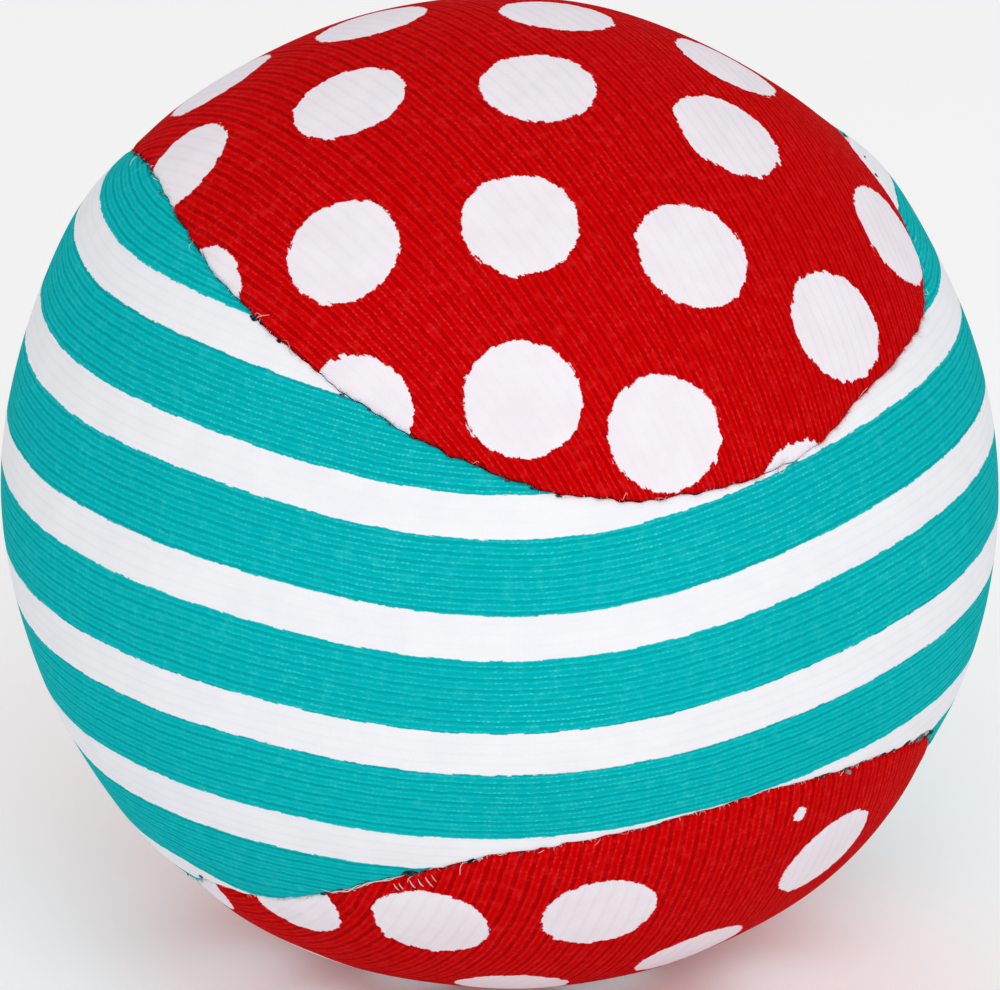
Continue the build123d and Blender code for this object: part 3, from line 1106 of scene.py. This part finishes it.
def add_fibre(parts, rng, turn, length, aside, radius, tone, across=0.0):
    """A loose curved fibre; across runs it off the seam instead of along it."""
    share = np.linspace(0, 1, 9)
    bend = rng.normal(0, 0.12) * MM
    turns = turn + (share - 0.5) * length / SEAM_LENGTH * (1 - min(abs(across), 1))
    sideways = aside + across * length * share + bend * np.sin(share * math.pi * rng.uniform(1, 3))
    lift = 0.03 * MM + rng.uniform(0.02, 0.10) * MM * np.sin(share * math.pi)
    path = beside_seam(turns % 1.0, sideways, lift)
    along = smooth_path(path)
    taper = radius * (0.35 + 0.65 * np.sin(np.linspace(0.1, math.pi - 0.1, len(along))))
    parts.add(*tube(along, taper, 5), tone=tone)


def smooth_path(path):
    """Even out the small steps that come from rounding to seam samples."""
    eased = path.copy()
    for _ in range(2):
        eased[1:-1] = (eased[:-2] + 2 * eased[1:-1] + eased[2:]) / 4
    return eased


# How far round the seam the larger loose threads and the inked strands lie.
PALE_THREADS = (0.6935, 0.6960, 0.6985, 0.7010, 0.7035, 0.6910)
INK_STRANDS = (0.6915, 0.6902, 0.6880, 0.6862, 0.6845, 0.6832)
LARGE_FIBRE_RADIUS = 0.045 * MM
SMALL_FIBRES = 90


def build_fibres():
    rng = np.random.default_rng(SEED + 1)
    parts = Parts()
    for turn in PALE_THREADS:
        length = rng.uniform(1.4, 2.4) * MM
        add_fibre(parts, rng, turn, length, 0.04 * MM * STRIPED_SIDE, LARGE_FIBRE_RADIUS, 0.15)
    for turn in INK_STRANDS:
        add_fibre(
            parts, rng, turn, rng.uniform(0.5, 1.0) * MM, -0.35 * MM * STRIPED_SIDE,
            LARGE_FIBRE_RADIUS, rng.uniform(0.3, 0.8), across=-STRIPED_SIDE,
        )
    for _ in range(SMALL_FIBRES):
        tone = rng.choice([0.0, 0.1, 0.9])
        add_fibre(
            parts, rng, rng.random(), rng.uniform(0.4, 1.5) * MM, rng.normal(0, 0.12) * MM,
            rng.uniform(0.012, 0.024) * MM, tone, across=rng.uniform(-0.5, 0.5),
        )
    settle(parts.build("loose_fibres"), fibre_material(), "striped_knit")


FUZZ_PER_EDGE = 1300
FUZZ_SIDES = 3
FUZZ_EDGE_MM = 1.0  # tells the knit material that a yarn end is not part of the cut edge, so it gets none of the painted seam shade


def build_fuzz(panel, material):
    """Short yarn ends that stand out of one cut edge, coloured by the print where they root."""
    name, side, _, print_for, _, _, seed = panel
    rng = np.random.default_rng(seed)
    parts = Parts()
    turns = rng.random(FUZZ_PER_EDGE)
    root_aside = side * (KNIT_EDGE_GAP + rng.uniform(0.02, 0.20, FUZZ_PER_EDGE) * MM)
    tip_aside = root_aside - side * rng.uniform(0.04, 0.24, FUZZ_PER_EDGE) * MM
    slip = rng.normal(0, 0.10, FUZZ_PER_EDGE) * MM / SEAM_LENGTH
    rise = rng.uniform(0.01, 0.09, FUZZ_PER_EDGE) * MM
    roots = beside_seam(turns, root_aside, -0.03 * MM)
    tips = beside_seam((turns + slip) % 1.0, tip_aside, rise)
    middles = (roots + tips) / 2 + unit(roots) * rise[:, None] * 0.4
    radius = rng.uniform(0.010, 0.018, FUZZ_PER_EDGE) * MM
    for path, thick in zip(np.stack([roots, middles, tips], axis=1), radius):
        taper = thick * np.array([1.0, 0.8, 0.3])
        parts.add(*tube(path, taper, FUZZ_SIDES), edge_mm=FUZZ_EDGE_MM)
    per_fibre = 3 * FUZZ_SIDES  # a ring at the root, one half way and one at the tip
    values, uv = print_for(unit(roots))
    for label, value in values.items():
        parts.values[label] = [np.repeat(value, per_fibre)]
    fuzz = parts.build(f"{name}_fuzz", np.repeat(uv, per_fibre, axis=0))
    settle(fuzz, material, f"{name}_knit")


# ---- thread and bag inside the ball ----
STITCH_COUNT = 128
STITCH_LENGTH = 3.4 * MM
STITCH_DIAMETER = 0.36 * MM
STITCH_TILT = math.radians(24)
CLOSING_START, CLOSING_END = 0.50, 0.575
CLOSING_COUNT = 10
CLOSING_LENGTH = 3.6 * MM
CLOSING_DIAMETER = 0.50 * MM
POUCH_THICK = 0.35 * MM
FIN_WIDTH = 3.0 * MM
FIN_PLAY = 0.08 * MM
POUCH_THREAD = 0.40 * MM
POUCH_STITCHES = 36
WEAVE_PITCH_MM = 0.55


def stitch_path(turn, tilt, length, diameter):
    """A stitch lying against the inside of the foam, its ends sprung slightly outwards."""
    sagitta = (length / 2) ** 2 / (2 * FOAM_INNER_R)
    radius = FOAM_INNER_R - PLY_CLEARANCE - diameter / 2 - sagitta
    place = np.array([turn])
    outward = seam_directions(place)[0]
    along = seam_directions(place + TURN_STEP)[0] - seam_directions(place - TURN_STEP)[0]
    along = along / np.linalg.norm(along)
    across = np.cross(outward, along)
    lie = across * math.cos(tilt) + along * math.sin(tilt)
    share = np.linspace(-0.5, 0.5, 17)
    bow = sagitta * (2 * share) ** 2 * 0.6
    return outward * (radius + bow)[:, None] + lie * (share * (length - diameter / 2))[:, None]


def finish_thread(parts, name, color, dark):
    node = name.replace("thread", "stitches")
    settle(parts.build(name), thread_material(name, color, dark), name, node)


def build_seam_threads():
    machine = Parts()
    for index in range(STITCH_COUNT):
        turn = index / STITCH_COUNT
        if CLOSING_START <= turn <= CLOSING_END:
            continue
        tilt = STITCH_TILT * (1 if index % 2 else -1)
        path = stitch_path(turn, tilt, STITCH_LENGTH, STITCH_DIAMETER)
        add_twisted_thread(machine, path, STITCH_DIAMETER)
    finish_thread(machine, "seam_thread", rgb(0.05, 0.05, 0.06), rgb(0.012, 0.012, 0.016))
    hand = Parts()
    for index in range(CLOSING_COUNT):
        turn = CLOSING_START + (index + 0.5) / CLOSING_COUNT * (CLOSING_END - CLOSING_START)
        path = stitch_path(turn, 0.0, CLOSING_LENGTH, CLOSING_DIAMETER)
        add_twisted_thread(hand, path, CLOSING_DIAMETER)
    finish_thread(hand, "closing_thread", rgb(0.50, 0.02, 0.02), rgb(0.22, 0.006, 0.008))


POUCH_INNER_R = POUCH_R - POUCH_THICK
FIN_HOLE_R = POUCH_INNER_R - FIN_WIDTH / 2
HOLE_COUNT = 2 * POUCH_STITCHES
COLUMNS_PER_HOLE = 5
CUP_ROWS = 44
FIN_ROWS = 6
FIN_ROW = 0.54 * MM  # also the length of a needle hole


def thickened(points, faces, normals, thickness):
    """A closed sheet: the faces, the same faces pushed in, and walls round every open edge."""
    total = len(points)
    closed = [list(face) for face in faces]
    closed.extend([corner + total for corner in reversed(face)] for face in faces)
    edges = {}
    for face in faces:
        for here, there in zip(face, face[1:] + face[:1]):
            edges[(here, there)] = True
    for here, there in edges:
        if (there, here) not in edges:
            closed.append([there, here, here + total, there + total])
    return np.concatenate([points, points - normals * thickness]), closed


def pouch_cup(name, sign, node, material):
    """One gathered cup of the bag; the fin turned inwards at its rim has a ring of needle holes."""
    columns = HOLE_COUNT * COLUMNS_PER_HOLE
    longitude = 2 * np.pi * (np.arange(columns) + 0.5) / columns
    rim_z = FIN_PLAY / 2 + POUCH_THICK * 0.15
    rim_latitude = math.asin(rim_z / POUCH_R)
    latitude = np.linspace(math.pi / 2 - 0.02, rim_latitude, CUP_ROWS)
    lon, lat = np.meshgrid(longitude, latitude)
    directions = np.stack([
        np.cos(lat) * np.cos(lon), np.cos(lat) * np.sin(lon), np.sin(lat) * sign
    ], axis=-1).reshape(-1, 3)
    gather = gauss(lat.ravel() - rim_latitude, 0.35)
    pleats = np.sin(lon.ravel() * 30 + 2.0 * smooth_noise(directions, 0.4, 5.0))
    crease = smooth_noise(directions, 0.16, 40.0 + sign)
    radius = POUCH_R - 0.08 * MM + 0.06 * MM * pleats * gather + 0.05 * MM * crease
    radius = rest_on_flat(directions, radius, POUCH_R - FLAT_DEPTH - 0.02 * MM)
    cup = directions * radius[:, None]
    fin_radius = FIN_HOLE_R + FIN_ROW * ((FIN_ROWS - 1) / 2 - np.arange(FIN_ROWS))
    fin_lon, fin_r = np.meshgrid(longitude, fin_radius)
    fin_z = np.full(fin_lon.size, rim_z)
    fin = np.stack([
        (fin_r * np.cos(fin_lon)).ravel(), (fin_r * np.sin(fin_lon)).ravel(), fin_z * sign
    ], axis=1)
    pole = np.array([[0.0, 0.0, radius[:columns].mean() * sign]])
    points = np.concatenate([cup, fin, pole])
    fin_normals = np.tile([0.0, 0.0, -sign], (len(fin), 1))
    normals = np.concatenate([directions, fin_normals, [[0.0, 0.0, sign]]])
    pole_index = len(points) - 1
    faces = []
    for column in range(columns):
        after = (column + 1) % columns
        faces.append([pole_index, column, after])
        for row in range(CUP_ROWS + FIN_ROWS - 1):
            low, high = row * columns, (row + 1) * columns
            face = [low + column, high + column, high + after, low + after]
            middle = points[face].mean(axis=0)
            flat_radius = math.hypot(middle[0], middle[1])
            on_fin = row >= CUP_ROWS and abs(flat_radius - FIN_HOLE_R) < FIN_ROW / 4
            if on_fin and column % COLUMNS_PER_HOLE == COLUMNS_PER_HOLE - 1:
                continue
            faces.append(face)
    if sign < 0:
        faces = [face[::-1] for face in faces]
    points, faces = thickened(points, faces, normals, POUCH_THICK * 0.6)
    round_mm = np.arctan2(points[:, 1], points[:, 0]) * BALL_R / MM
    flat_uv = np.stack([round_mm, points[:, 2] / MM], axis=1)
    settle(make_object(name, points, faces, None, flat_uv), material, "pouch_cloth", node)


def staple_path(first, second, reach, side):
    """Up through one needle hole, over the cloth, and down through the next."""
    bend = POUCH_THREAD * 0.7
    rise = np.linspace(-reach, reach - bend, 6)
    quarter = np.linspace(0, math.pi / 2, 5)[1:]
    gap = second - first
    span = np.linalg.norm(gap)
    heading = gap / span
    legs = [(0.0, height) for height in rise]
    legs += [(bend * (1 - math.cos(a)), reach - bend + bend * math.sin(a)) for a in quarter]
    legs += [(place, reach) for place in np.linspace(bend, span - bend, 6)[1:-1]]
    legs += [(span - bend * (1 - math.sin(a)), reach - bend * (1 - math.cos(a))) for a in quarter]
    legs += [(span, height) for height in rise[::-1][1:]]
    return np.array([
        (first[0] + heading[0] * run, first[1] + heading[1] * run, height * side)
        for run, height in legs
    ])


def build_pouch_thread():
    reach = FIN_PLAY / 2 + POUCH_THICK + PLY_CLEARANCE + POUCH_THREAD / 2
    hole_angle = 2 * math.pi / HOLE_COUNT
    parts = Parts()
    for index in range(POUCH_STITCHES):
        corners = [
            FIN_HOLE_R * np.array([math.cos(angle), math.sin(angle)])
            for angle in (2 * index * hole_angle, (2 * index + 1) * hole_angle)
        ]
        path = staple_path(*corners, reach, 1 if index % 2 else -1)
        add_twisted_thread(parts, path, POUCH_THREAD)
    finish_thread(parts, "pouch_thread", rgb(0.86, 0.85, 0.80), rgb(0.62, 0.60, 0.54))


def dress_pellets():
    """The granules keep their CAD mesh and take on a plastic look."""
    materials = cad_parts["filling_pellets"].data.materials
    materials.clear()
    materials.append(pellet_material())


def build_inside():
    build_seam_threads()
    cloth = cloth_material()
    pouch_cup("bag_upper", 1, "pouch_upper_half", cloth)
    pouch_cup("bag_lower", -1, "pouch_lower_half", cloth)
    build_pouch_thread()
    dress_pellets()


add_camera()
add_stage()
cover_materials = build_cover()
build_foam()
build_seam_bead()
build_crumbs()
build_fibres()
for panel, cover_material in zip(PANELS, cover_materials):
    build_fuzz(panel, cover_material)
build_inside()
